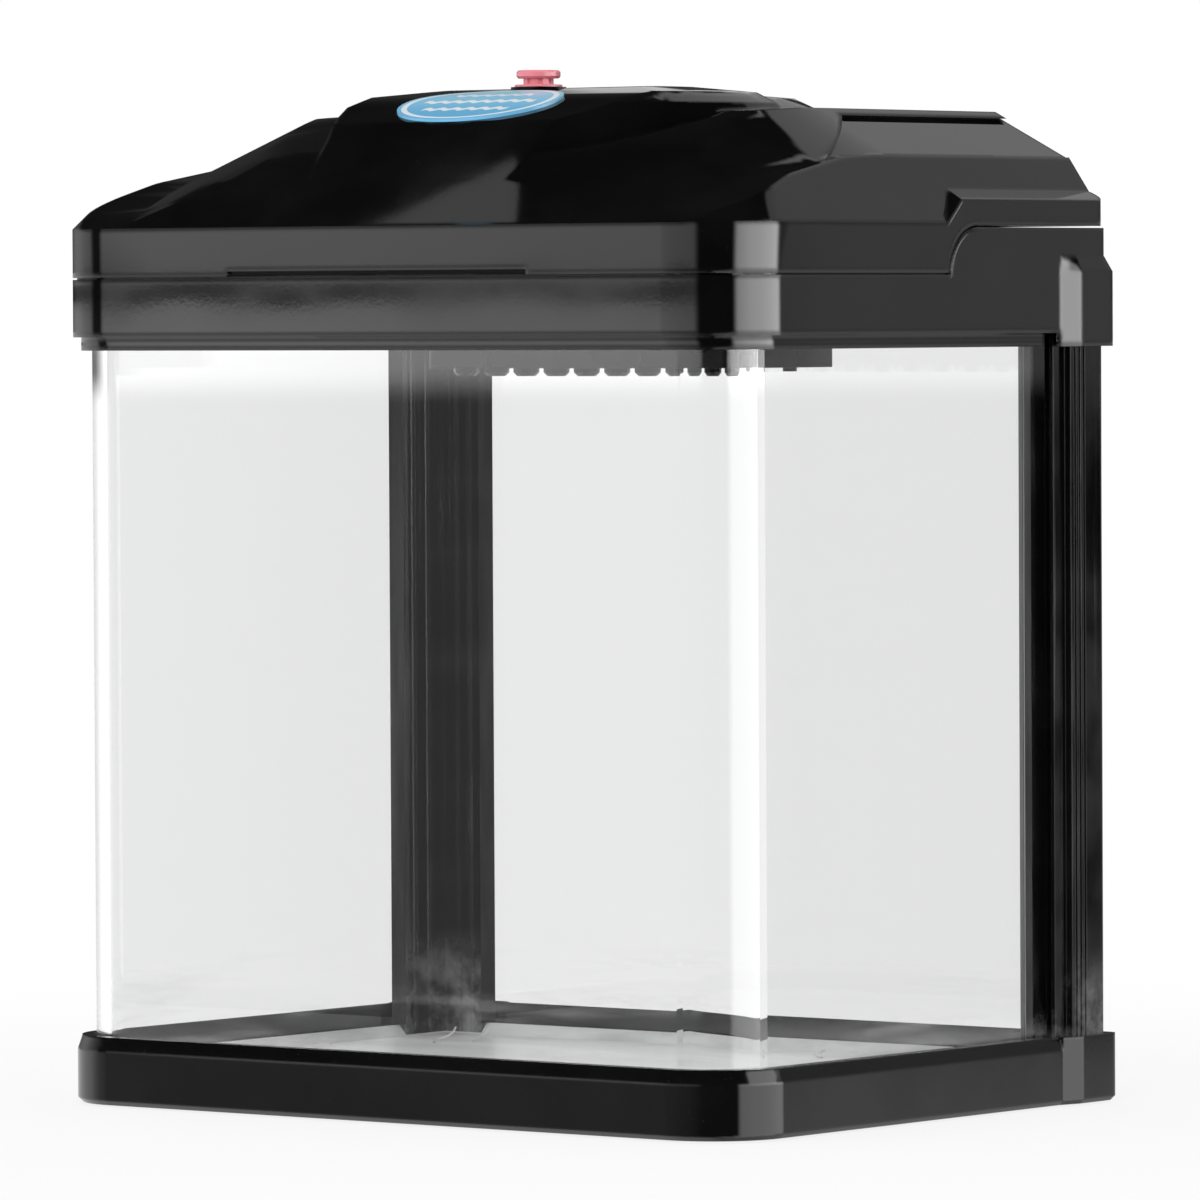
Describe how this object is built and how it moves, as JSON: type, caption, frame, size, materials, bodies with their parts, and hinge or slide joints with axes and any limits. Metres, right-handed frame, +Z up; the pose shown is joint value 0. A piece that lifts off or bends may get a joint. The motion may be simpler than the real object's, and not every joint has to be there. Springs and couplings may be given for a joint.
{
  "type": "nano aquarium",
  "caption": "Small all-in-one desktop aquarium: bent glass tank in a moulded base, with rear columns and a domed hood whose lid hinges up over a drip filter tray.",
  "frame": {"origin": "centre of the bounding box, on the surface the feet stand on", "axes": "+Z up, -Y towards the front glass, +X to the right as seen from the front"},
  "size_m": [0.1846, 0.1332, 0.2169],
  "materials": {
    "hood_plastic": "gloss",
    "base_plastic": "gloss",
    "column_plastic": "gloss",
    "tank_glass": "clear",
    "silicone": "satin",
    "foot_rubber": "matt",
    "screw_steel": "satin",
    "tray_plastic": "satin",
    "filter_fibre": "matt",
    "clear_plastic": "gloss",
    "circuit_board": "matt",
    "led_resin": "gloss",
    "red_plastic": "gloss",
    "switch_plastic": "matt",
    "nut_metal": "polished",
    "spring_steel": "satin",
    "badge_blue": "gloss",
    "gland_rubber": "matt"
  },
  "bodies": {
    "tank": {"base_tray": "base_plastic", "base_feet": "foot_rubber", "base_screws": "screw_steel", "floor_glass": "tank_glass", "front_glass": "tank_glass", "rear_glass": "tank_glass", "left_column": "column_plastic", "right_column": "column_plastic", "floor_seal": "silicone", "column_seals": "silicone", "hood_frame": "hood_plastic", "frame_screws": "screw_steel", "hinge_pins": "spring_steel", "filter_tray": "tray_plastic", "filter_wool": "filter_fibre"},
    "lid": {"lid_shell": "hood_plastic", "lamp_cover": "clear_plastic", "lamp_board": "circuit_board", "lamp_leds": "led_resin", "lamp_screws": "screw_steel", "button_bezel": "red_plastic", "switch_bush": "switch_plastic", "switch_nut": "nut_metal", "button_spring": "spring_steel", "badge": "badge_blue", "cord_gland": "gland_rubber"},
    "button": {"button_cap": "red_plastic"}
  },
  "joints": [
    {"name": "lid_hinge", "type": "hinge", "parent": "tank", "child": "lid", "pos_m": [0, 0.06448, 0.18345], "axis": [-1, 0, 0], "range_deg": [0, 85]},
    {"name": "lamp_button", "type": "slide", "parent": "lid", "child": "button", "axis": [0, 0, -1], "range_m": [0, 0.001], "stiffness_N_per_m": 800, "deforming": ["button_spring"]}
  ]
}
